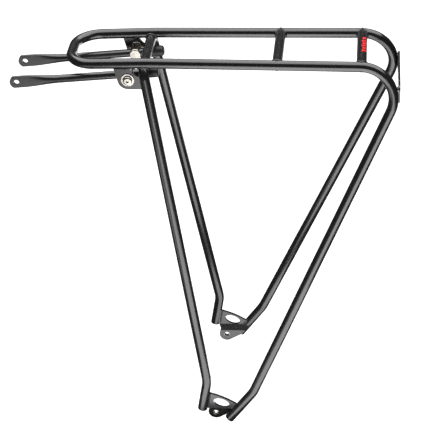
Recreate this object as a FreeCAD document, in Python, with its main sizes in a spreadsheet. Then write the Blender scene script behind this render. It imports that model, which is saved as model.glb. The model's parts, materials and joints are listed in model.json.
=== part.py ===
import FreeCAD, Part

import math
import os

import Sketcher

# Rear rack for a bicycle: a platform hoop on four splayed legs, welded from 10 mm steel tube.
# Frame: +X to the rear of the bicycle, +Y to its right, +Z up, millimetres.
# Origin: midway between the two lower eyelets, on the axis of their holes.

Vec = FreeCAD.Vector
doc = FreeCAD.newDocument("rear_rack")

# ---------------------------------------------------------------- driving dimensions
DIMENSIONS = {
    # tubes
    "tube_od": 10.0,
    "tube_wall": 1.0,
    "rail_height": 392.25,       # rail centre line above the eyelet axis
    "hoop_front": -134.6,        # centre line of the front cross run of the hoop
    "hoop_corner": 25.0,         # centre-line radius of the two front corners
    "rail_half_front": 32.9,     # half rail spacing, at the front of the hoop
    "rail_half_rear": 38.0,      # half rail spacing, where the rails would meet the rear legs
    "nose_start": -58.0,         # ahead of this the platform slopes down a little
    "nose_slope": 0.03,
    "rear_corner": 195.4,        # rail and rear leg centre lines would cross here
    "rear_bend": 32.3,           # centre-line radius of the shoulder bend
    "front_cross": -61.3,
    "front_cross_drop": 4.6,     # the front cross tube passes this much below the rails' middles
    "middle_cross": 67.6,
    "rear_cross": 147.8,
    # legs, each given by its corners in the side view
    "leg_foot_half": 78.2,       # half spacing of the upright feet
    "rear_knee_back": 40.8,
    "rear_knee_up": 32.9,
    "rear_foot_back": 14.9,
    "rear_foot_up": -2.6,
    "front_arm_half": 28.0,      # the front legs turn inward under the rails, and end here
    "front_top_half": 38.3,      # where a leg's line would meet the front cross tube's
    "front_top_bend": 11.0,
    "front_knee_back": -7.35,
    "front_knee_up": 44.7,
    "front_foot_back": -13.5,
    "front_foot_up": 9.6,
    "knee_bend": 30.0,
    "foot_cap": 1.5,             # thickness of the closed tube ends
    # dropout plates, pressed inward below the window, and the collars of their eyelets
    "dropout_half": 75.8,        # middle of the plate between the feet
    "lobe_half": 70.15,          # middle of the lobe round the eyelet
    "press_top": 9.6,            # the slope between the two, along the middle of the plate
    "press_foot": 4.6,
    "dropout_thick": 3.0,
    "lobe_radius": 8.2,
    "window_back": 6.6,
    "window_up": 16.1,
    "window_long": 8.8,
    "window_short": 5.2,
    "window_tilt": -24.0,
    "collar_radius": 4.7,
    "collar_height": 0.9,
    "eyelet_radius": 3.0,
    # clamp plates
    "plate_half": 35.0,
    "plate_thick": 3.0,
    "clamp_back": -76.7,         # clamp axis
    "clamp_up": 375.4,
    "plate_front": -90.6,
    "plate_rear": -57.0,
    "plate_lobe": 10.2,
    "notch_back": -64.0,
    "notch_up": 387.9,
    "notch_radius": 9.5,
    # clamp hardware
    "neck_radius": 3.5,
    "neck_bore": 3.55,           # plate and inner washer on the neck of the eye
    "eye_radius": 5.75,
    "eye_half": 5.5,
    "stay_bore": 4.05,
    "screw_radius": 2.5,
    "tap_radius": 2.55,
    "tap_depth": 6.9,
    "screw_length": 7.6,
    "head_radius": 4.75,
    "head_height": 2.75,
    "hex_across": 3.0,
    "hex_depth": 1.6,
    "inner_washer": 7.3,
    "inner_washer_thick": 1.5,
    "outer_washer": 6.6,
    "outer_washer_bore": 2.65,
    "outer_washer_thick": 1.2,
    # stays
    "stay_half": 23.25,
    "stay_radius": 4.0,
    "stay_tilt": 5.2,            # degrees, front end down
    "stay_hole": 112.7,          # clamp axis to the hole at the front end
    "stay_hole_radius": 2.75,
    "stay_tip": 119.6,
    "stay_tail": 27.0,
    "blade_half": 6.4,
    "blade_thick": 3.2,
    "blade_root": 70.0,          # flattening starts here, ahead of the clamp
    "blade_flat": 106.0,          # and is complete here
    "cap_radius": 5.35,
    "cap_bore": 4.03,
    "cap_start": 16.6,
    "cap_length": 12.4,
    # light bracket
    "bracket_back": 183.1,
    "bracket_thick": 2.0,
    "bracket_width": 82.0,
    "bracket_tall": 17.8,
    "bracket_up": 363.8,
    "bracket_corner": 4.0,
    "bracket_pitch": 50.0,
    "bracket_hole": 2.75,
}

sheet = doc.addObject("Spreadsheet::Sheet", "Sizes")
for row, (alias, value) in enumerate(DIMENSIONS.items(), start=1):
    sheet.set(f"A{row}", alias)
    sheet.set(f"B{row}", str(value))
    sheet.setAlias(f"B{row}", alias)
doc.recompute()


def size(alias):
    return float(sheet.get(alias))


SIDES = (("left", -1), ("right", 1))
nodes = []


def keep(thing, label):
    """Names a finished sub-part, which is exported under that name."""
    thing.Label = label
    nodes.append(thing)
    return thing


# ---------------------------------------------------------------- helpers: tubes
def rounded_path(corners, radii):
    """A wire through straight runs, with each inner corner rounded to its radius."""
    edges = []
    start = corners[0]
    for before, corner, after, radius in zip(corners, corners[1:], corners[2:], radii):
        back = (before - corner).normalize()
        ahead = (after - corner).normalize()
        half = back.getAngle(ahead) / 2
        reach = radius / math.tan(half)
        middle = corner + (back + ahead).normalize() * (radius / math.sin(half) - radius)
        edges.append(Part.makeLine(start, corner + back * reach))
        edges.append(Part.Arc(corner + back * reach, middle, corner + ahead * reach).toShape())
        start = corner + ahead * reach
    edges.append(Part.makeLine(start, corners[-1]))
    return Part.Wire(edges)


def rod(corners, radii, radius):
    """A round bar of one radius along a rounded path."""
    path = rounded_path(corners, radii)
    ring = Part.Circle(corners[0], corners[1] - corners[0], radius).toShape()
    return path.makePipeShell([Part.Wire(ring)], True, False)


def bent_tube(corners, radii, closed_end=0.0):
    """A tube along a rounded path. Its bore stops short of the last corner by closed_end."""
    outer = rod(corners, radii, size("tube_od") / 2)
    run = corners[-1] - corners[-2]
    stop = corners[-1] - run.normalize() * closed_end
    inner = rod(corners[:-1] + [stop], radii, size("tube_od") / 2 - size("tube_wall"))
    return outer.cut(inner)


def feature(name, shape):
    thing = doc.addObject("Part::Feature", name)
    thing.Shape = shape
    return thing


def one_solid(shape):
    """The largest solid of a shape, which leaves out any offcut of a trimmed end."""
    return max(shape.Solids, key=lambda solid: solid.Volume)


# ---------------------------------------------------------------- helpers: bodies
def origin_plane(body, role):
    return next(item for item in body.Origin.OriginFeatures if item.Role == role)


def new_sketch(body, name, role="XY_Plane", offset=0.0):
    sketch = body.newObject("Sketcher::SketchObject", name)
    sketch.AttachmentSupport = [(origin_plane(body, role), "")]
    sketch.MapMode = "FlatFace"
    sketch.AttachmentOffset = FreeCAD.Placement(Vec(0, 0, offset), FreeCAD.Rotation())
    return sketch


def add_circle(sketch, alias, x=0.0, y=0.0):
    """A circle held at (x, y), its radius driven by a cell of the sheet."""
    edge = sketch.addGeometry(Part.Circle(Vec(x, y, 0), Vec(0, 0, 1), size(alias)), False)
    if x == 0 and y == 0:
        sketch.addConstraint(Sketcher.Constraint("Coincident", edge, 3, -1, 1))
    else:
        sketch.addConstraint(Sketcher.Constraint("DistanceX", -1, 1, edge, 3, x))
        sketch.addConstraint(Sketcher.Constraint("DistanceY", -1, 1, edge, 3, y))
    name = f"radius{edge}"
    index = sketch.addConstraint(Sketcher.Constraint("Radius", edge, size(alias)))
    sketch.renameConstraint(index, name)
    sketch.setExpression(f"Constraints.{name}", f"Sizes.{alias}")
    return edge


def add_outline(sketch, pieces):
    """A closed outline: each piece is a list of two points, or three for an arc."""
    for points in pieces:
        flat = [Vec(x, y, 0) for x, y in points]
        if len(flat) == 2:
            sketch.addGeometry(Part.LineSegment(*flat), False)
        else:
            sketch.addGeometry(Part.Arc(*flat), False)


def pad(body, sketch, expression, middle=False):
    thing = body.newObject("PartDesign::Pad", sketch.Name + "_pad")
    thing.Profile = sketch
    thing.setExpression("Length", expression)
    thing.SideType = "Symmetric" if middle else "One side"
    doc.recompute()
    return thing


def pocket(body, sketch, expression=None, middle=False, reverse=False):
    """Cuts a sketch out of its body, and makes sure that it took something away."""
    before = body.Shape.Volume
    thing = body.newObject("PartDesign::Pocket", sketch.Name + "_cut")
    thing.Profile = sketch
    if expression is None:
        thing.Type = "ThroughAll"
    else:
        thing.setExpression("Length", expression)
    if middle:
        thing.SideType = "Symmetric"
    thing.Reversed = reverse
    doc.recompute()
    if body.Shape.Volume > before - 1e-3:
        raise ValueError(f"{thing.Name} cuts nothing")
    return thing


def soften(body, amount, edges, kind="PartDesign::Fillet", prop="Radius"):
    """Rounds or bevels the chosen edges of a body's tip."""
    tip = body.Tip
    names = [f"Edge{i}" for i, edge in enumerate(tip.Shape.Edges, start=1) if edges(edge)]
    thing = body.newObject(kind, body.Name + "_" + prop)
    thing.Base = (tip, names)
    setattr(thing, prop, amount)
    doc.recompute()
    return thing


def bevel(body, amount, edges):
    return soften(body, amount, edges, "PartDesign::Chamfer", "Size")


def circle_at(edge, radius, height=None):
    """True for a round edge of this radius about local Z, at this height if one is given."""
    curve = edge.Curve
    if not isinstance(curve, Part.Circle) or abs(curve.Radius - radius) > 1e-4:
        return False
    return height is None or abs(curve.Center.z - height) < 1e-4


def outward(side, half, tilt=0.0):
    """Turns local +Z away from the bicycle's middle, with local X rearward, at the clamp."""
    turn = FreeCAD.Rotation(Vec(0, 1, 0), -tilt) * FreeCAD.Rotation(Vec(1, 0, 0), -90 * side)
    return FreeCAD.Placement(Vec(size("clamp_back"), side * half, size("clamp_up")), turn)


# ---------------------------------------------------------------- hoop, rails and legs
def rail_half(x):
    """Half the rail spacing at x: the platform widens a little to the rear."""
    share = (x - size("hoop_front")) / (size("rear_corner") - size("hoop_front"))
    return size("rail_half_front") + share * (size("rail_half_rear") - size("rail_half_front"))


def rail_up(x):
    """Height of the rail centre line: level, but for the nose."""
    return size("rail_height") - size("nose_slope") * max(0.0, size("nose_start") - x)


def on_rail(side, x):
    return Vec(x, side * rail_half(x), rail_up(x))


def rear_corners(side):
    return [
        on_rail(side, RAIL_END),
        on_rail(side, size("rear_corner")),
        Vec(size("rear_knee_back"), side * size("leg_foot_half"), size("rear_knee_up")),
        Vec(size("rear_foot_back"), side * size("leg_foot_half"), size("rear_foot_up")),
    ]


def front_corners(side):
    arm_up = size("rail_height") - size("front_cross_drop")
    return [
        Vec(size("front_cross"), side * size("front_arm_half"), arm_up),
        Vec(size("front_cross"), side * size("front_top_half"), arm_up),
        Vec(size("front_knee_back"), side * size("leg_foot_half"), size("front_knee_up")),
        Vec(size("front_foot_back"), side * size("leg_foot_half"), size("front_foot_up")),
    ]


HOOP_END = size("hoop_front") + 34.0     # the hoop's corners are finished here
RAIL_END = size("rear_corner") - 55.0    # and the shoulder bends begin after this
NOSE_BEND = 200.0

hoop_corners = [
    on_rail(-1, HOOP_END),
    on_rail(-1, size("hoop_front")),
    on_rail(1, size("hoop_front")),
    on_rail(1, HOOP_END),
]
hoop_radii = [size("hoop_corner")] * 2
keep(feature("hoop", bent_tube(hoop_corners, hoop_radii)), "front_hoop")

rail_rods = {}
leg_rods = {}
rear_radii = [size("rear_bend"), size("knee_bend")]
front_radii = [size("front_top_bend"), size("knee_bend")]
for word, side in SIDES:
    corners = [on_rail(side, x) for x in (HOOP_END, size("nose_start"), RAIL_END)]
    keep(feature(f"{word}_rail_tube", bent_tube(corners, [NOSE_BEND])), f"{word}_rail")
    rail_rods[side] = rod(corners, [NOSE_BEND], size("tube_od") / 2)

    corners = rear_corners(side)
    rear_tube = bent_tube(corners, rear_radii, size("foot_cap"))
    keep(feature(f"{word}_rear_tube", rear_tube), f"{word}_rear_leg")
    rear_rod = rod(corners, rear_radii, size("tube_od") / 2)

    corners = front_corners(side)
    front_tube = bent_tube(corners, front_radii, size("foot_cap"))
    front_tube = one_solid(front_tube.cut(rail_rods[side]))
    keep(feature(f"{word}_front_tube", front_tube), f"{word}_front_leg")
    front_rod = rod(corners, front_radii, size("tube_od") / 2)
    leg_rods[side] = (front_rod, rear_rod)

# Cross tubes run level between the rails, their ends shaped to the rails they are welded to. The
# front one is the middle of an arch whose two ends are the front legs.
tubes = rail_rods[-1].fuse([rail_rods[1], *leg_rods[-1], *leg_rods[1]])
for word in ("front", "middle", "rear"):
    front = word == "front"
    half = "Sizes.front_arm_half" if front else f"{rail_half(size(word + '_cross'))}"
    height = "Sizes.rail_height - Sizes.front_cross_drop" if front else "Sizes.rail_height"
    ring = doc.addObject("Part::Cylinder", f"{word}_cross_outer")
    bore = doc.addObject("Part::Cylinder", f"{word}_cross_bore")
    for thing, radius in ((ring, "Sizes.tube_od / 2"), (bore, "Sizes.tube_od / 2 - Sizes.tube_wall")):
        thing.Placement = FreeCAD.Placement(Vec(0, 0, 0), FreeCAD.Rotation(Vec(1, 0, 0), 90))
        thing.setExpression("Radius", radius)
        thing.setExpression("Height", f"2 * {half}")
        thing.setExpression(".Placement.Base.x", f"Sizes.{word}_cross")
        thing.setExpression(".Placement.Base.y", half)
        thing.setExpression(".Placement.Base.z", height)
    hollow = doc.addObject("Part::Cut", f"{word}_cross_hollow")
    hollow.Base = ring
    hollow.Tool = bore
    if front:
        keep(hollow, "front_cross_tube")
        continue
    shaped = doc.addObject("Part::Cut", f"{word}_cross")
    shaped.Base = hollow
    shaped.Tool = feature(f"{word}_cross_walls", tubes)
    keep(shaped, f"{word}_cross_tube")
doc.recompute()


# ---------------------------------------------------------------- dropout plates and collars
def dropout_outline():
    """Side view: the plate between the feet, and the lobe that hangs round the eyelet."""
    lobe = size("lobe_radius")
    front_top = (-9.0, 28.9)
    crown = (9.7, 22.2)
    rear_top = (26.5, 11.5)
    rear_foot = (17.0, 0.5)
    waist = (-6.6, 6.5)
    front_foot = (-9.5, 11.0)
    rear_turn = math.radians(-50)
    low_turn = math.radians(-125)
    front_turn = math.radians(-200)
    lobe_rear = (lobe * math.cos(rear_turn), lobe * math.sin(rear_turn))
    lobe_low = (lobe * math.cos(low_turn), lobe * math.sin(low_turn))
    lobe_front = (lobe * math.cos(front_turn), lobe * math.sin(front_turn))
    return [
        [front_top, crown, rear_top],
        [rear_top, rear_foot],
        [rear_foot, lobe_rear],
        [lobe_rear, lobe_low, lobe_front],
        [lobe_front, waist],
        [waist, front_foot],
        [front_foot, front_top],
    ]


def pressed_section(side):
    """End view: a strip as thick as the plate that steps inward between plate and lobe."""
    half = size("dropout_thick") / 2
    slope = math.atan2(size("dropout_half") - size("lobe_half"), size("press_top") - size("press_foot"))
    rise = half * math.tan(slope / 2)
    above = 40.0
    below = -20.0
    outer = [
        (size("dropout_half") + half, above),
        (size("dropout_half") + half, size("press_top") - rise),
        (size("lobe_half") + half, size("press_foot") - rise),
        (size("lobe_half") + half, below),
    ]
    inner = [
        (size("lobe_half") - half, below),
        (size("lobe_half") - half, size("press_foot") + rise),
        (size("dropout_half") - half, size("press_top") + rise),
        (size("dropout_half") - half, above),
    ]
    points = [(side * y, z) for y, z in outer + inner]
    return list(zip(points, points[1:] + points[:1]))


def make_dropout(word, side):
    outline = doc.addObject("PartDesign::Body", f"{word}_dropout_body")
    sketch = new_sketch(outline, f"{word}_dropout_outline", "XZ_Plane")
    add_outline(sketch, dropout_outline())
    pad(outline, sketch, "3 * Sizes.dropout_half", middle=True)
    holes = new_sketch(outline, f"{word}_dropout_holes", "XZ_Plane")
    add_circle(holes, "eyelet_radius")
    centre = Vec(size("window_back"), size("window_up"), 0)
    window = Part.Ellipse(centre, size("window_long"), size("window_short"))
    window.AngleXU = math.radians(size("window_tilt"))
    holes.addGeometry(window, False)
    pocket(outline, holes, middle=True)
    strip = doc.addObject("PartDesign::Body", f"{word}_pressed_body")
    section = new_sketch(strip, f"{word}_pressed_section", "YZ_Plane")
    add_outline(section, pressed_section(side))
    pad(strip, section, "10 * Sizes.lobe_radius", middle=True)
    plate = doc.addObject("Part::Common", f"{word}_dropout_plate")
    plate.Base = strip
    plate.Tool = outline
    feet = feature(f"{word}_dropout_feet", leg_rods[side][0].fuse(leg_rods[side][1]))
    shaped = doc.addObject("Part::Cut", f"{word}_dropout_shaped")
    shaped.Base = plate
    shaped.Tool = feet
    doc.recompute()
    return keep(shaped, f"{word}_dropout")


def make_collar(word, side, plate):
    """A low turned collar on the outer face of the lobe, trimmed where the plate steps outward."""
    body = doc.addObject("PartDesign::Body", f"{word}_collar_body")
    sketch = new_sketch(body, f"{word}_collar_ring")
    add_circle(sketch, "collar_radius")
    add_circle(sketch, "eyelet_radius")
    pad(body, sketch, "Sizes.collar_height")
    top = size("collar_height")
    bevel(body, 0.3, lambda edge: circle_at(edge, size("collar_radius"), top))
    face = side * (size("lobe_half") + size("dropout_thick") / 2)
    turn = FreeCAD.Rotation(Vec(1, 0, 0), -90 * side)
    body.Placement = FreeCAD.Placement(Vec(0, face, 0), turn)
    shaped = doc.addObject("Part::Cut", f"{word}_collar_shaped")
    shaped.Base = body
    shaped.Tool = plate
    keep(shaped, f"{word}_eyelet_collar")


# ---------------------------------------------------------------- clamp plates
def clamp_outline():
    """A gusset in the corner of rail and front leg, with a lobe round the clamp screw."""
    top = size("rail_height") - size("tube_od") / 4
    front = size("plate_front")
    rear = size("plate_rear")
    x = size("clamp_back")
    z = size("clamp_up")
    lobe = size("plate_lobe")
    notch = size("notch_radius")
    notch_x = size("notch_back")
    notch_z = size("notch_up")
    slant = math.radians(200)
    low = math.radians(235)
    diagonal = notch * math.sqrt(0.5)
    touch = (x + lobe * math.cos(slant), z + lobe * math.sin(slant))
    lobe_low = (x + lobe * math.cos(low), z + lobe * math.sin(low))
    lobe_foot = (x, z - lobe)
    rear_foot = (rear, z - lobe)
    rear_top = (rear, notch_z - notch)
    notch_foot = (notch_x, notch_z - notch)
    notch_middle = (notch_x - diagonal, notch_z - diagonal)
    notch_top = (notch_x - notch, notch_z)
    return [
        [(front, top), touch],
        [touch, lobe_low, lobe_foot],
        [lobe_foot, rear_foot],
        [rear_foot, rear_top],
        [rear_top, notch_foot],
        [notch_foot, notch_middle, notch_top],
        [notch_top, (notch_x - notch, top)],
        [(notch_x - notch, top), (front, top)],
    ]


def make_clamp_plate(word, side):
    body = doc.addObject("PartDesign::Body", f"{word}_plate_body")
    sketch = new_sketch(body, f"{word}_plate_outline", "XZ_Plane")
    add_outline(sketch, clamp_outline())
    pad(body, sketch, "Sizes.plate_thick", middle=True)
    hole = new_sketch(body, f"{word}_plate_hole", "XZ_Plane")
    add_circle(hole, "neck_bore", size("clamp_back"), size("clamp_up"))
    pocket(body, hole, middle=True)
    body.setExpression(".Placement.Base.y", f"{side} * Sizes.plate_half")
    doc.recompute()
    tubes = feature(f"{word}_plate_tubes", rail_rods[side].fuse(leg_rods[side][0]))
    shaped = doc.addObject("Part::Cut", f"{word}_plate_shaped")
    shaped.Base = body
    shaped.Tool = tubes
    keep(shaped, f"{word}_clamp_plate")


# ---------------------------------------------------------------- clamp hardware
INNER_FACE = size("plate_half") - size("plate_thick") / 2
OUTER_FACE = size("plate_half") + size("plate_thick") / 2


def make_eye(word, side):
    """The eye that holds the stay: a drilled head and a tapped neck, local Z outward."""
    body = doc.addObject("PartDesign::Body", f"{word}_eye_body")
    head = new_sketch(body, f"{word}_eye_head")
    add_circle(head, "eye_radius")
    pad(body, head, "2 * Sizes.eye_half", middle=True)
    top = size("eye_half")
    soften(body, 1.2, lambda edge: circle_at(edge, size("eye_radius")))
    neck = new_sketch(body, f"{word}_eye_neck", offset=top)
    add_circle(neck, "neck_radius")
    neck_length = OUTER_FACE - 0.2 - size("stay_half") - top
    pad(body, neck, f"{neck_length}")
    tap = new_sketch(body, f"{word}_eye_tap", offset=top + neck_length)
    add_circle(tap, "tap_radius")
    pocket(body, tap, "Sizes.tap_depth")
    across = new_sketch(body, f"{word}_eye_bore", "YZ_Plane")
    add_circle(across, "stay_bore")
    pocket(body, across, middle=True)
    body.Placement = outward(side, size("stay_half"), size("stay_tilt"))
    keep(body, f"{word}_clamp_eye")


def make_washer(word, side, name, outer, bore, thick, face):
    body = doc.addObject("PartDesign::Body", f"{word}_{name}_body")
    sketch = new_sketch(body, f"{word}_{name}_ring")
    add_circle(sketch, outer)
    add_circle(sketch, bore)
    pad(body, sketch, f"Sizes.{thick}")
    bevel(body, 0.25, lambda edge: circle_at(edge, size(outer)))
    body.Placement = outward(side, face)
    keep(body, f"{word}_{name}")


def make_screw(word, side):
    """A button-head socket screw, its head up along local Z from the washer."""
    body = doc.addObject("PartDesign::Body", f"{word}_screw_body")
    head = new_sketch(body, f"{word}_screw_head")
    add_circle(head, "head_radius")
    pad(body, head, "Sizes.head_height")
    rim = size("head_height")
    soften(body, 2.0, lambda edge: circle_at(edge, size("head_radius"), rim))
    socket = new_sketch(body, f"{word}_screw_socket", offset=size("head_height"))
    corner = size("hex_across") / math.sqrt(3)
    turns = [math.radians(60 * step) for step in range(7)]
    points = [(corner * math.cos(turn), corner * math.sin(turn)) for turn in turns]
    add_outline(socket, list(zip(points, points[1:])))
    pocket(body, socket, "Sizes.hex_depth")
    shank = new_sketch(body, f"{word}_screw_shank")
    add_circle(shank, "screw_radius")
    grown = pad(body, shank, "Sizes.screw_length")
    grown.Reversed = True
    doc.recompute()
    tip = -size("screw_length")
    bevel(body, 0.5, lambda edge: circle_at(edge, size("screw_radius"), tip))
    body.Placement = outward(side, OUTER_FACE + size("outer_washer_thick"))
    keep(body, f"{word}_clamp_screw")


# ---------------------------------------------------------------- stays
def blade_section(x, share):
    """A section across the stay: round at share 0, flattened at share 1, from four arcs."""
    radius = size("stay_radius")
    tall = radius + share * (size("blade_half") - radius)
    wide = radius + share * (size("blade_thick") / 2 - radius)
    squarer_up = 0.16            # how far pressing moves the corners out
    squarer_out = 0.20
    up = tall * (math.sqrt(0.5) + share * squarer_up)
    out = wide * (math.sqrt(0.5) + share * squarer_out)
    corners = [(out, up), (-out, up), (-out, -up), (out, -up)]
    middles = [(0, tall), (-wide, 0), (0, -tall), (wide, 0)]
    edges = []
    for start, middle, stop in zip(corners, middles, corners[1:] + corners[:1]):
        points = [Vec(x, y, z) for y, z in (start, middle, stop)]
        edges.append(Part.Arc(*points).toShape())
    return Part.Wire(edges)


def make_stay(word, side):
    """A bar through the eye, its front end pressed flat, rounded and drilled."""
    root = -size("blade_root")
    flat = -size("blade_flat")
    tip = -size("stay_tip")
    straight = size("stay_tail") - root
    bar = Part.makeCylinder(size("stay_radius"), straight, Vec(root, 0, 0), Vec(1, 0, 0))
    sections = []
    steps = 6
    for step in range(steps + 1):
        share = step / steps
        eased = share * share * (3 - 2 * share)
        sections.append(blade_section(root + share * (flat - root), eased))
    press = Part.makeLoft(sections, True, False)
    blade = Part.makeLoft([blade_section(flat, 1.0), blade_section(tip, 1.0)], True, True)
    stay = bar.fuse([press, blade]).removeSplitter()
    end_radius = size("blade_half") + 0.3
    reach = 20.0                 # longer than the blade is thick or tall
    side_on = Vec(0, -1, 0)
    nose = Part.makeCylinder(end_radius, reach, Vec(tip + end_radius, reach / 2, 0), side_on)
    ahead = Part.makeBox(end_radius + 1, reach, reach, Vec(tip - 1, -reach / 2, -reach / 2))
    stay = stay.cut(ahead.cut(nose))
    drilled = Vec(-size("stay_hole"), reach / 2, 0)
    stay = stay.cut(Part.makeCylinder(size("stay_hole_radius"), reach, drilled, side_on))
    thing = feature(f"{word}_stay_bar", one_solid(stay))
    turn = FreeCAD.Rotation(Vec(0, 1, 0), -size("stay_tilt"))
    place = Vec(size("clamp_back"), side * size("stay_half"), size("clamp_up"))
    thing.Placement = FreeCAD.Placement(place, turn)
    keep(thing, f"{word}_stay")


def make_cap(word, side):
    """A soft plastic cap pushed over the tail of the stay."""
    body = doc.addObject("PartDesign::Body", f"{word}_cap_body")
    sketch = new_sketch(body, f"{word}_cap_outline", "YZ_Plane", size("cap_start"))
    add_circle(sketch, "cap_radius")
    pad(body, sketch, "Sizes.cap_length")
    end = size("cap_start") + size("cap_length")
    soften(body, 3.0, lambda edge: isinstance(edge.Curve, Part.Circle) and edge.Curve.Center.x > end - 1e-3)
    bore = new_sketch(body, f"{word}_cap_bore", "YZ_Plane", size("cap_start"))
    add_circle(bore, "cap_bore")
    pocket(body, bore, "Sizes.stay_tail - Sizes.cap_start + 0.05", reverse=True)
    turn = FreeCAD.Rotation(Vec(0, 1, 0), -size("stay_tilt"))
    place = Vec(size("clamp_back"), side * size("stay_half"), size("clamp_up"))
    body.Placement = FreeCAD.Placement(place, turn)
    keep(body, f"{word}_stay_cap")


# ---------------------------------------------------------------- light bracket
def bracket_outline():
    """A long rectangle with rounded corners, in the bracket's own plane."""
    wide = size("bracket_width") / 2
    tall = size("bracket_tall") / 2
    corner = size("bracket_corner")
    inset = corner * (1 - math.sqrt(0.5))
    pieces = []
    for across, up in ((1, 1), (-1, 1), (-1, -1), (1, -1)):
        beside = (across * wide, up * (tall - corner))
        between = (across * (wide - inset), up * (tall - inset))
        above = (across * (wide - corner), up * tall)
        pieces.append([beside, between, above] if across * up > 0 else [above, between, beside])
    runs = [[piece[-1], following[0]] for piece, following in zip(pieces, pieces[1:] + pieces[:1])]
    return pieces + runs


def make_light_bracket():
    """A flat bar across the shoulders of the rear legs, drilled for a lamp or reflector."""
    body = doc.addObject("PartDesign::Body", "bracket_body")
    sketch = new_sketch(body, "bracket_outline", "YZ_Plane")
    add_outline(sketch, bracket_outline())
    pad(body, sketch, "Sizes.bracket_thick")
    holes = new_sketch(body, "bracket_holes", "YZ_Plane")
    for end in (-1, 1):
        add_circle(holes, "bracket_hole", end * size("bracket_pitch") / 2, 0.0)
    pocket(body, holes, middle=True)
    body.setExpression(".Placement.Base.x", "Sizes.bracket_back")
    body.setExpression(".Placement.Base.z", "Sizes.bracket_up")
    doc.recompute()
    shoulders = feature("bracket_shoulders", leg_rods[-1][1].fuse(leg_rods[1][1]))
    shaped = doc.addObject("Part::Cut", "bracket_shaped")
    shaped.Base = body
    shaped.Tool = shoulders
    keep(shaped, "light_bracket")


for word, side in SIDES:
    plate = make_dropout(word, side)
    make_collar(word, side, plate)
    make_clamp_plate(word, side)
    make_eye(word, side)
    make_washer(
        word, side, "inner_washer", "inner_washer", "neck_bore", "inner_washer_thick",
        INNER_FACE - size("inner_washer_thick"),
    )
    make_washer(
        word, side, "outer_washer", "outer_washer", "outer_washer_bore", "outer_washer_thick", OUTER_FACE,
    )
    make_screw(word, side)
    make_stay(word, side)
    make_cap(word, side)
make_light_bracket()

# ---------------------------------------------------------------- check and write
doc.recompute()
for thing in doc.Objects:
    if {"Invalid", "Error"} & set(thing.State):
        raise ValueError(f"{thing.Name} failed: {thing.State}")
os.makedirs("parts", exist_ok=True)
for thing in nodes:
    shape = thing.Shape
    if shape.isNull() or not shape.isValid() or len(shape.Solids) != 1:
        raise ValueError(f"{thing.Label} isn't one valid solid: {len(shape.Solids)}")
    shape.exportStep(f"parts/{thing.Label}.step")
    box = shape.BoundBox
    print(f"{thing.Label:22s} {shape.Volume:9.1f} mm3  x {box.XMin:7.1f} {box.XMax:7.1f}"
          f"  y {box.YMin:6.1f} {box.YMax:6.1f}  z {box.ZMin:6.1f} {box.ZMax:6.1f}")
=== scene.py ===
"""A bicycle rear rack in satin black powder coat, with bright clamp hardware, in a pale studio."""

import json
import math

import bpy
from mathutils import Matrix, Vector


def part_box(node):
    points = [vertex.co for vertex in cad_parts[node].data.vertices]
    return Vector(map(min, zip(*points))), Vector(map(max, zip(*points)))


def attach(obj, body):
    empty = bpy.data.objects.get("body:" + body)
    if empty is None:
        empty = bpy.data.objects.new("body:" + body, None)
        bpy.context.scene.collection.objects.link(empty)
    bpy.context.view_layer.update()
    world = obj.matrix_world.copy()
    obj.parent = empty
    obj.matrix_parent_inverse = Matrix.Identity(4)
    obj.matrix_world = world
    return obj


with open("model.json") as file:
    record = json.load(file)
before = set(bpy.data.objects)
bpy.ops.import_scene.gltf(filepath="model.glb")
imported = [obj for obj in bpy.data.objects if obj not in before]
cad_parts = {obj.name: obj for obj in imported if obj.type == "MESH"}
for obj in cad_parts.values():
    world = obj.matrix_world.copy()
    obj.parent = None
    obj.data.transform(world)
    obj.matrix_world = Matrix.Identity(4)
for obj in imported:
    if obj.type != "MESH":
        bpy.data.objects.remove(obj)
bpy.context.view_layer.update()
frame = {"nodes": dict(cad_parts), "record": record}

MM = 0.001
SIDES = (("left", -1), ("right", 1))
TUBE = 5 * MM                    # radius of every tube of the frame

# The front arch: the cross tube's line meets a leg's line at this half spacing, and is bent round
# to it with this centre-line radius. A leg then runs down its own way, outward on its own side.
ARCH_HALF = 38.3 * MM
ARCH_BEND = 11 * MM
LEG_BACK, LEG_OUT, LEG_DOWN = 0.1544, 0.1142, -0.9815

# The ways that the closed ends of the legs point.
FEET = {"front": Vector((-6.15, 0, -35.1)), "rear": Vector((-25.9, 0, -35.5))}

CLAMP_PLATE_HALF = 35 * MM       # middle of a clamp plate from the rack's middle plane
PLATE_FACE = 1.6 * MM            # a bead's middle beside a plate 3 mm thick
DROPOUT_THICK = 3 * MM
FLOOR_HEIGHT = -0.02
CARD_HEIGHT = -0.018             # the light cards lie just above the floor


# ---------------------------------------------------------------- materials
def new_material(name):
    material = bpy.data.materials.new(name)
    material.use_nodes = True
    tree = material.node_tree
    return material, tree, tree.nodes["Principled BSDF"]


def set_inputs(node, **values):
    """Sets sockets by name, with underscores for spaces."""
    for name, value in values.items():
        node.inputs[name.replace("_", " ")].default_value = value


def noise(tree, scale, detail=3.0, stretch=(1, 1, 1)):
    """Noise in metres over the object's own coordinates."""
    where = tree.nodes.new("ShaderNodeTexCoord")
    mapping = tree.nodes.new("ShaderNodeMapping")
    mapping.inputs["Scale"].default_value = stretch
    texture = tree.nodes.new("ShaderNodeTexNoise")
    set_inputs(texture, Scale=scale, Detail=detail)
    tree.links.new(where.outputs["Object"], mapping.inputs["Vector"])
    tree.links.new(mapping.outputs["Vector"], texture.inputs["Vector"])
    return texture.outputs["Fac"]


def remap(tree, value, low, high, start=0.3, stop=0.7):
    """Spreads a noise value over low..high."""
    node = tree.nodes.new("ShaderNodeMapRange")
    tree.links.new(value, node.inputs["Value"])
    bounds = (start, stop, low, high)
    for name, number in zip(("From Min", "From Max", "To Min", "To Max"), bounds):
        node.inputs[name].default_value = number
    return node.outputs["Result"]


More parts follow.
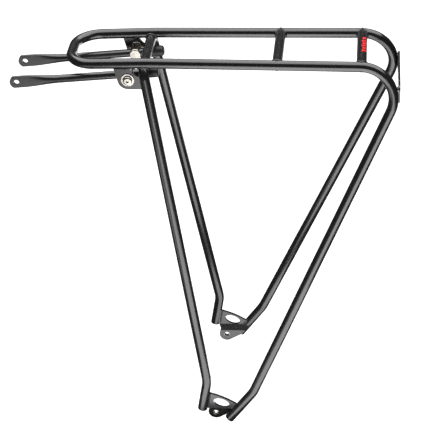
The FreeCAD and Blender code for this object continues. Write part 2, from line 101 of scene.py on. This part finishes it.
def blend_colours(tree, value, first, second):
    node = tree.nodes.new("ShaderNodeMix")
    node.data_type = "RGBA"
    tree.links.new(value, node.inputs["Factor"])
    node.inputs["A"].default_value = first
    node.inputs["B"].default_value = second
    return node.outputs["Result"]


def add_bumps(tree, shader, layers):
    """Stacks bump layers, each a height, a depth in metres and a strength."""
    previous = None
    for height, depth, strength in layers:
        bump = tree.nodes.new("ShaderNodeBump")
        set_inputs(bump, Strength=strength, Distance=depth)
        tree.links.new(height, bump.inputs["Height"])
        if previous is not None:
            tree.links.new(previous, bump.inputs["Normal"])
        previous = bump.outputs["Normal"]
    tree.links.new(previous, shader.inputs["Normal"])


def edge_wear(tree, radius, low, high):
    """A mask of worn edges: where a bevelled normal turns away from the true one."""
    bevel = tree.nodes.new("ShaderNodeBevel")
    bevel.samples = 4
    bevel.inputs["Radius"].default_value = radius
    geometry = tree.nodes.new("ShaderNodeNewGeometry")
    dot = tree.nodes.new("ShaderNodeVectorMath")
    dot.operation = "DOT_PRODUCT"
    tree.links.new(bevel.outputs["Normal"], dot.inputs[0])
    tree.links.new(geometry.outputs["Normal"], dot.inputs[1])
    return remap(tree, dot.outputs["Value"], 1.0, 0.0, low, high)


def powder_coat(name, dark, grain, rough):
    """Black powder coat: a fine orange peel with a gentle roll under it, and a faint bloom of dust."""
    material, tree, shader = new_material(name)
    dust = remap(tree, noise(tree, 60.0, 4.0), 0.0, 1.0, 0.42, 0.75)
    dusty = tuple(value * 1.7 for value in dark[:3]) + (1,)
    colour = blend_colours(tree, dust, dark, dusty)
    worn = edge_wear(tree, 0.5 * MM, 0.72, 0.97)
    worn_colour = tree.nodes.new("ShaderNodeMix")
    worn_colour.data_type = "RGBA"
    tree.links.new(worn, worn_colour.inputs["Factor"])
    tree.links.new(colour, worn_colour.inputs["A"])
    worn_colour.inputs["B"].default_value = (0.030, 0.030, 0.033, 1)
    tree.links.new(worn_colour.outputs["Result"], shader.inputs["Base Color"])
    patches = noise(tree, 240.0, 3.0)
    tree.links.new(remap(tree, patches, rough - 0.03, rough + 0.04), shader.inputs["Roughness"])
    set_inputs(shader, IOR=1.55, Coat_Weight=0.7, Coat_Roughness=0.16, Coat_IOR=1.5)
    peel = noise(tree, 1500.0, 2.0)
    roll = noise(tree, 420.0, 2.0)
    add_bumps(tree, shader, [(roll, 0.05 * MM, 0.05), (peel, 0.03 * MM, grain)])
    return material


def frame_black():
    return powder_coat("frame_powder_coat", (0.0040, 0.0040, 0.0044, 1), 0.035, 0.25)


def stay_black():
    return powder_coat("stay_powder_coat", (0.0060, 0.0060, 0.0066, 1), 0.08, 0.30)


def weld_black():
    """The same coat over a weld: a little rougher, with spatter in it."""
    material, tree, shader = new_material("weld_powder_coat")
    spatter = noise(tree, 900.0, 4.0)
    mottle = remap(tree, spatter, 0.0, 1.0)
    colour = blend_colours(tree, mottle, (0.003, 0.003, 0.003, 1), (0.009, 0.009, 0.010, 1))
    tree.links.new(colour, shader.inputs["Base Color"])
    tree.links.new(remap(tree, spatter, 0.26, 0.42), shader.inputs["Roughness"])
    set_inputs(shader, IOR=1.55, Coat_Weight=0.6, Coat_Roughness=0.2, Coat_IOR=1.5)
    add_bumps(tree, shader, [(spatter, 0.10 * MM, 0.35)])
    return material


def bright_steel():
    """Plated steel with fine turning marks and a few warm stains."""
    material, tree, shader = new_material("bright_steel")
    stain = remap(tree, noise(tree, 350.0, 5.0), 0.0, 1.0, 0.40, 0.72)
    colour = blend_colours(tree, stain, (0.60, 0.585, 0.55, 1), (0.40, 0.36, 0.30, 1))
    tree.links.new(colour, shader.inputs["Base Color"])
    marks = noise(tree, 700.0, 3.0, (1, 9, 1))
    tree.links.new(remap(tree, marks, 0.16, 0.34), shader.inputs["Roughness"])
    set_inputs(shader, Metallic=1.0)
    add_bumps(tree, shader, [(marks, 0.02 * MM, 0.22)])
    return material


def cap_plastic():
    """Soft moulded plastic with a fine spark-eroded grain."""
    material, tree, shader = new_material("cap_plastic")
    mottle = remap(tree, noise(tree, 500.0, 3.0), 0.0, 1.0)
    tree.links.new(
        blend_colours(tree, mottle, (0.008, 0.008, 0.009, 1), (0.014, 0.014, 0.015, 1)),
        shader.inputs["Base Color"],
    )
    grain = noise(tree, 2600.0, 2.0)
    tree.links.new(remap(tree, grain, 0.34, 0.50), shader.inputs["Roughness"])
    set_inputs(shader, IOR=1.48)
    add_bumps(tree, shader, [(grain, 0.04 * MM, 0.35)])
    return material


def red_print():
    """Screen-printed red, slightly uneven over the coat."""
    material, tree, shader = new_material("red_print")
    patch = remap(tree, noise(tree, 1200.0, 3.0), 0.0, 1.0)
    colour = blend_colours(tree, patch, (0.92, 0.012, 0.014, 1), (0.76, 0.008, 0.012, 1))
    tree.links.new(colour, shader.inputs["Base Color"])
    tree.links.new(remap(tree, patch, 0.35, 0.48, 0.0, 1.0), shader.inputs["Roughness"])
    add_bumps(tree, shader, [(patch, 0.02 * MM, 0.2)])
    return material


MATERIALS = {
    "frame_black": frame_black(),
    "stay_black": stay_black(),
    "bright_steel": bright_steel(),
    "cap_black": cap_plastic(),
}
WELD = weld_black()

for entry in frame["record"]["subparts"]:
    node = frame["nodes"][entry["node"]]
    node.data.materials.clear()
    node.data.materials.append(MATERIALS[entry["material_slot"]])


# ---------------------------------------------------------------- where the tubes run, from the frame
def middle_of(node):
    low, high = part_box(node)
    return (low + high) / 2


def rail_line(side):
    """A point on a rail's centre line and its direction, over its level stretch."""
    word = "left" if side < 0 else "right"
    low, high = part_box(f"{word}_rail")
    near = min(abs(low.y), abs(high.y)) + TUBE
    far = max(abs(low.y), abs(high.y)) - TUBE
    front = Vector((low.x, side * near, high.z - TUBE))
    rear = Vector((high.x, side * far, high.z - TUBE))
    return front, (rear - front).normalized()


def foot_end(node, down):
    """Middle of a leg's closed end, found along the way that the foot points."""
    points = [Vector(vertex.co) for vertex in frame["nodes"][node].data.vertices]
    last = max(point.dot(down) for point in points)
    rim = [point for point in points if point.dot(down) > last - 0.05 * MM]
    low = Vector(min(point[axis] for point in rim) for axis in range(3))
    high = Vector(max(point[axis] for point in rim) for axis in range(3))
    return (low + high) / 2


# ---------------------------------------------------------------- mesh helpers
def add_mesh(name, points, faces, material, body="root", smooth=True):
    mesh = bpy.data.meshes.new(name)
    mesh.from_pydata([tuple(point) for point in points], [], faces)
    mesh.update()
    piece = bpy.data.objects.new(name, mesh)
    bpy.context.scene.collection.objects.link(piece)
    for face in mesh.polygons:
        face.use_smooth = smooth
    mesh.materials.append(material)
    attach(piece, body)
    return piece


def across_from(run):
    """Two directions square to a run and to each other."""
    aside = Vector((0, 0, 1)) if abs(run.z) < 0.9 else Vector((1, 0, 0))
    first = run.cross(aside).normalized()
    return first, run.cross(first).normalized()


def spaced(points, pitch, closed):
    """The same line with its points an even pitch apart."""
    line = points + points[:1] if closed else points
    lengths = [0.0]
    for a, b in zip(line, line[1:]):
        lengths.append(lengths[-1] + (b - a).length)
    count = max(4, round(lengths[-1] / pitch))
    result = []
    index = 0
    for step in range(count if closed else count + 1):
        want = lengths[-1] * step / count
        while index < len(line) - 2 and lengths[index + 1] < want:
            index += 1
        share = (want - lengths[index]) / max(lengths[index + 1] - lengths[index], 1e-9)
        result.append(line[index].lerp(line[index + 1], min(share, 1.0)))
    return result


def add_bead(name, points, radius, closed=False, ripple=1.7 * MM):
    """A weld bead along a line: round in section, with the even ripples of a hand-laid weld."""
    sides = 12
    pitch = ripple / 6
    line = spaced(points, pitch, closed)
    count = len(line)
    vertices = []
    for index, point in enumerate(line):
        before = line[index - 1] if closed or index else point
        after = line[(index + 1) % count] if closed or index < count - 1 else point
        first, second = across_from((after - before).normalized())
        phase = (index * pitch / ripple) % 1.0
        swell = 0.80 + 0.32 * math.sqrt(max(0.0, 1 - phase * phase))
        taper = 1.0
        if not closed:
            taper = min(1.0, 0.35 + min(index, count - 1 - index) / 6)
        drift = 1 + 0.07 * math.sin(index * 0.37 + point.x * 900)
        size = radius * swell * taper * drift
        for side in range(sides):
            turn = 2 * math.pi * side / sides
            vertices.append(point + (first * math.cos(turn) + second * math.sin(turn)) * size)
    faces = []
    for index in range(count if closed else count - 1):
        ring = index * sides
        following = ((index + 1) % count) * sides
        for side in range(sides):
            beside = (side + 1) % sides
            faces.append((ring + side, ring + beside, following + beside, following + side))
    if not closed:
        faces.append(tuple(reversed(range(sides))))
        faces.append(tuple(range((count - 1) * sides, count * sides)))
    return add_mesh(name, vertices, faces, WELD)


def add_turned(name, profile, origin, run, material, body="root"):
    """A turned piece: a profile of (along, radius) swept round an axis."""
    sides = 48
    first, second = across_from(run)
    vertices = []
    for along, radius in profile:
        for side in range(sides):
            turn = 2 * math.pi * side / sides
            away = first * math.cos(turn) + second * math.sin(turn)
            vertices.append(origin + run * along + away * radius)
    faces = []
    for ring in range(len(profile) - 1):
        for side in range(sides):
            beside = (side + 1) % sides
            low = ring * sides
            high = low + sides
            faces.append((low + side, low + beside, high + beside, high + side))
    return add_mesh(name, vertices, faces, material, body)


# ---------------------------------------------------------------- welds
def hit_cylinder(start, run, point, axis, radius):
    """How far along run from start a line first meets a round tube, or None."""
    offset = start - point
    flat_run = run - axis * run.dot(axis)
    flat_offset = offset - axis * offset.dot(axis)
    a = flat_run.dot(flat_run)
    b = 2 * flat_run.dot(flat_offset)
    c = flat_offset.dot(flat_offset) - radius * radius
    inside = b * b - 4 * a * c
    if inside < 0:
        return None
    return (-b - math.sqrt(inside)) / (2 * a)


def saddle(start, run, target):
    """Where a tube along run from start meets the target tube, as a closed line."""
    first, second = across_from(run)
    point, axis = target
    points = []
    for step in range(72):
        turn = 2 * math.pi * step / 72
        edge = start + (first * math.cos(turn) + second * math.sin(turn)) * TUBE * 0.995
        reach = hit_cylinder(edge, run, point, axis, TUBE)
        if reach is not None and reach > 0:
            points.append(edge + run * reach)
    return points


def arch_path(side):
    """Centre line of one half of the front arch: out along the cross tube, and round into the leg."""
    cross = middle_of("front_cross_tube")
    corner = Vector((cross.x, side * ARCH_HALF, cross.z))
    ahead = Vector((LEG_BACK, side * LEG_OUT, LEG_DOWN)).normalized()
    back = Vector((0, -side, 0))
    half = back.angle(ahead) / 2
    centre = corner + (back + ahead).normalized() * (ARCH_BEND / math.sin(half))
    reach = ARCH_BEND / math.tan(half)
    start = (corner + back * reach - centre).normalized()
    finish = (corner + ahead * reach - centre).normalized()
    pitch = 0.25 * MM
    line = [Vector((cross.x, side * step * pitch, cross.z)) for step in range(80, 112)]
    line += [centre + start.slerp(finish, step / 60) * ARCH_BEND for step in range(61)]
    line += [corner + ahead * (reach + step * pitch) for step in range(1, 40)]
    return line


def arch_seam(side):
    """The closed line where the front arch is notched round a rail."""
    line = arch_path(side)
    square = (line[1] - line[0]).cross(line[-1] - line[-2]).normalized()
    point, axis = rail_line(side)
    entering = []
    leaving = []
    for step in range(96):
        turn = 2 * math.pi * step / 96 - math.pi / 2
        met = []
        for before, here in zip(line, line[1:]):
            upward = square.cross((here - before).normalized())
            edge = here + (square * math.cos(turn) + upward * math.sin(turn)) * TUBE
            offset = edge - point
            if (offset - axis * offset.dot(axis)).length < TUBE:
                met.append(edge)
        if met:
            entering.append(met[0])
            leaving.append(met[-1])
    return entering + leaving[::-1]


def weld_cross_tubes():
    for word in ("middle", "rear"):
        middle = middle_of(f"{word}_cross_tube")
        middle.y = 0
        for name, side in SIDES:
            ring = saddle(middle, Vector((0, side, 0)), rail_line(side))
            add_bead(f"{name}_{word}_cross_weld", ring, 1.10 * MM, closed=True)


def weld_front_arch():
    """The arch passes under both rails and is welded to each all round the notch."""
    for name, side in SIDES:
        add_bead(f"{name}_arch_weld", arch_seam(side), 1.15 * MM, closed=True)


def weld_clamp_plates():
    """Each gusset is welded along the rail, on both faces."""
    for name, side in SIDES:
        low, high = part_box(f"{name}_clamp_plate")
        plate_middle = side * CLAMP_PLATE_HALF
        for face, shift in (("inner", -1), ("outer", 1)):
            y = plate_middle + side * shift * PLATE_FACE
            front = Vector((low.x + 1 * MM, y, high.z - 0.6 * MM))
            rear = Vector((low.x + 15.5 * MM, y, high.z - 0.2 * MM))
            add_bead(f"{name}_plate_{face}_rail_weld", [front, rear], 0.9 * MM)


def weld_dropouts():
    """Each dropout plate is welded to both feet, on both faces."""
    for name, side in SIDES:
        low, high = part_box(f"{name}_dropout")
        outer = max(abs(low.y), abs(high.y))
        for face, y in (("outer", outer), ("inner", outer - DROPOUT_THICK)):
            front_top = Vector((-4.9 * MM, side * y, 27.5 * MM))
            front_foot = Vector((-7.3 * MM, side * y, 12.0 * MM))
            rear_top = Vector((21.8 * MM, side * y, 14.3 * MM))
            rear_foot = Vector((16.0 * MM, side * y, 5.9 * MM))
            add_bead(f"{name}_front_foot_{face}_weld", [front_top, front_foot], 0.85 * MM)
            add_bead(f"{name}_rear_foot_{face}_weld", [rear_top, rear_foot], 0.85 * MM)


def weld_light_bracket():
    """Short welds hold the bracket's ends to the shoulders of the rear legs."""
    low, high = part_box("light_bracket")
    for name, side in SIDES:
        for level, z in (("upper", high.z - 3 * MM), ("lower", low.z + 3 * MM)):
            inner = Vector((low.x - 0.2 * MM, side * (high.y - 7.5 * MM), z))
            outer = Vector((low.x - 0.2 * MM, side * (high.y - 1.0 * MM), z))
            add_bead(f"{name}_{level}_bracket_weld", [inner, outer], 0.95 * MM)


# ---------------------------------------------------------------- small pieces
def add_foot_ends():
    """The tube ends are closed with slightly domed, softly rounded plugs."""
    for name, _ in SIDES:
        for leg, down in FEET.items():
            run = down.normalized()
            end = foot_end(f"{name}_{leg}_leg", run)
            profile = [(-0.3 * MM, TUBE * 1.004)]
            for step in range(7):
                turn = math.radians(90 * step / 6)
                profile.append((0.55 * MM * math.sin(turn), TUBE * 1.004 - 0.9 * MM * (1 - math.cos(turn))))
            profile.append((0.80 * MM, TUBE * 0.45))
            profile.append((0.85 * MM, 0.0))
            add_turned(f"{name}_{leg}_foot_plug", profile, end, run, MATERIALS["frame_black"])


def add_eyelet_bushes():
    """A thin bright bush lines each lower eyelet."""
    for name, side in SIDES:
        low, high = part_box(f"{name}_dropout")
        start = min(abs(low.y), abs(high.y)) - 0.15 * MM
        length = 4.35 * MM
        outer = 2.98 * MM
        bore = 2.70 * MM
        profile = [
            (0.0, bore), (0.0, outer + 0.10 * MM), (0.15 * MM, outer + 0.15 * MM), (0.2 * MM, outer),
            (length - 0.2 * MM, outer), (length - 0.15 * MM, outer + 0.15 * MM),
            (length, outer + 0.10 * MM),
            (length, bore), (0.0, bore),
        ]
        origin = Vector((0, side * start, 0))
        add_turned(f"{name}_eyelet_bush", profile, origin, Vector((0, side, 0)), MATERIALS["bright_steel"])


def add_mark():
    """Plain slanted stripes of red on the rear cross tube: a generic mark, no lettering."""
    middle = middle_of("rear_cross_tube")
    paint = red_print()
    stripes = 6
    steps = 10
    for stripe in range(stripes):
        start = (-14 + 5.3 * stripe) * MM
        width = (4.2 if stripe % 2 else 3.4) * MM
        low_turn = math.radians(-2 + 8 * (stripe % 2))
        high_turn = math.radians(62 - 6 * (stripe % 3))
        vertices = []
        for step in range(steps + 1):
            turn = low_turn + (high_turn - low_turn) * step / steps
            lean = 3.0 * MM * step / steps
            for along in (start + lean, start + lean + width):
                for radius in (TUBE + 0.02 * MM, TUBE + 0.10 * MM):
                    vertices.append(Vector((
                        middle.x + radius * math.sin(turn), along, middle.z + radius * math.cos(turn),
                    )))
        faces = []
        for step in range(steps):
            a = 4 * step
            b = a + 4
            faces += [(a + 1, b + 1, b + 3, a + 3), (a, a + 2, b + 2, b)]
            faces += [(a, b, b + 1, a + 1), (a + 2, a + 3, b + 3, b + 2)]
        last = 4 * steps
        faces += [(0, 1, 3, 2), (last, last + 2, last + 3, last + 1)]
        add_mesh(f"red_stripe_{stripe + 1}", vertices, faces, paint, smooth=False)


weld_cross_tubes()
weld_front_arch()
weld_clamp_plates()
weld_dropouts()
weld_light_bracket()
add_foot_ends()
add_eyelet_bushes()
add_mark()


# ---------------------------------------------------------------- camera
def add_camera():
    """A long lens, ahead of the rack's middle on its left side, looking down over the platform."""
    data = bpy.data.cameras.new("camera")
    data.sensor_width = 36.0
    data.lens = 137.57
    data.shift_x = -0.5 / 430
    data.shift_y = 0.5 / 430
    camera = bpy.data.objects.new("camera", data)
    bpy.context.scene.collection.objects.link(camera)
    turn = Matrix.Rotation(0.107103, 4, "Z")
    tip = Matrix.Rotation(math.pi / 2 - 0.553591, 4, "X")
    roll = Matrix.Rotation(-0.037964, 4, "Z")
    camera.matrix_world = Matrix.Translation((0.154208, -1.438745, 1.094903)) @ turn @ tip @ roll
    bpy.context.scene.camera = camera


# ---------------------------------------------------------------- studio
def add_floor():
    """A pale floor, faintly lit from within like a light table, and left out of glossy reflections."""
    size = 40.0
    height = FLOOR_HEIGHT
    corners = [(-size, -size, height), (size, -size, height), (size, size, height), (-size, size, height)]
    mesh = bpy.data.meshes.new("floor")
    mesh.from_pydata(corners, [], [(0, 1, 2, 3)])
    floor = bpy.data.objects.new("floor", mesh)
    bpy.context.scene.collection.objects.link(floor)
    material, tree, shader = new_material("floor_paper")
    fibre = remap(tree, noise(tree, 40.0, 4.0), 0.0, 1.0)
    tree.links.new(
        blend_colours(tree, fibre, (0.56, 0.56, 0.56, 1), (0.54, 0.54, 0.54, 1)),
        shader.inputs["Base Color"],
    )
    set_inputs(shader, Roughness=0.95, Emission_Color=(1, 1, 1, 1), Emission_Strength=0.80)
    mesh.materials.append(material)
    floor.visible_glossy = False


def add_area(name, place, target, width, height, radiance):
    """A soft box of the given size, as bright as a surface of that radiance."""
    data = bpy.data.lights.new(name, "AREA")
    data.shape = "RECTANGLE"
    data.size = width
    data.size_y = height
    data.energy = radiance * width * height * math.pi
    light = bpy.data.objects.new(name, data)
    bpy.context.scene.collection.objects.link(light)
    aim = (Vector(target) - Vector(place)).to_track_quat("-Z", "Y")
    light.matrix_world = Matrix.Translation(place) @ aim.to_matrix().to_4x4()


def add_world():
    world = bpy.data.worlds.new("studio")
    world.use_nodes = True
    world.node_tree.nodes["Background"].inputs["Color"].default_value = (1, 1, 1, 1)
    world.node_tree.nodes["Background"].inputs["Strength"].default_value = 0.06
    bpy.context.scene.world = world


def add_card(name, x, y, width, depth, radiance):
    """A soft box lying on the floor and facing up."""
    add_area(name, (x, y, CARD_HEIGHT), (x, y, 1.0), width, depth, radiance)


add_camera()
add_floor()
add_area("overhead", (0.1, 0.45, 1.45), (0.1, 0.45, 0), 2.6, 1.9, 3.1)
add_card("front_card", 0.25, -1.25, 0.90, 1.90, 3.5)
add_card("left_card", -0.45, -0.66, 0.32, 0.88, 1.2)
add_card("near_card", 0.08, -0.21, 0.34, 0.18, 3.2)
add_card("foot_card", 0.04, 0.005, 0.13, 0.10, 2.4)
add_card("rear_card", 0.15, 1.30, 0.90, 1.70, 1.4)
add_world()
bpy.context.scene.view_settings.view_transform = "Standard"
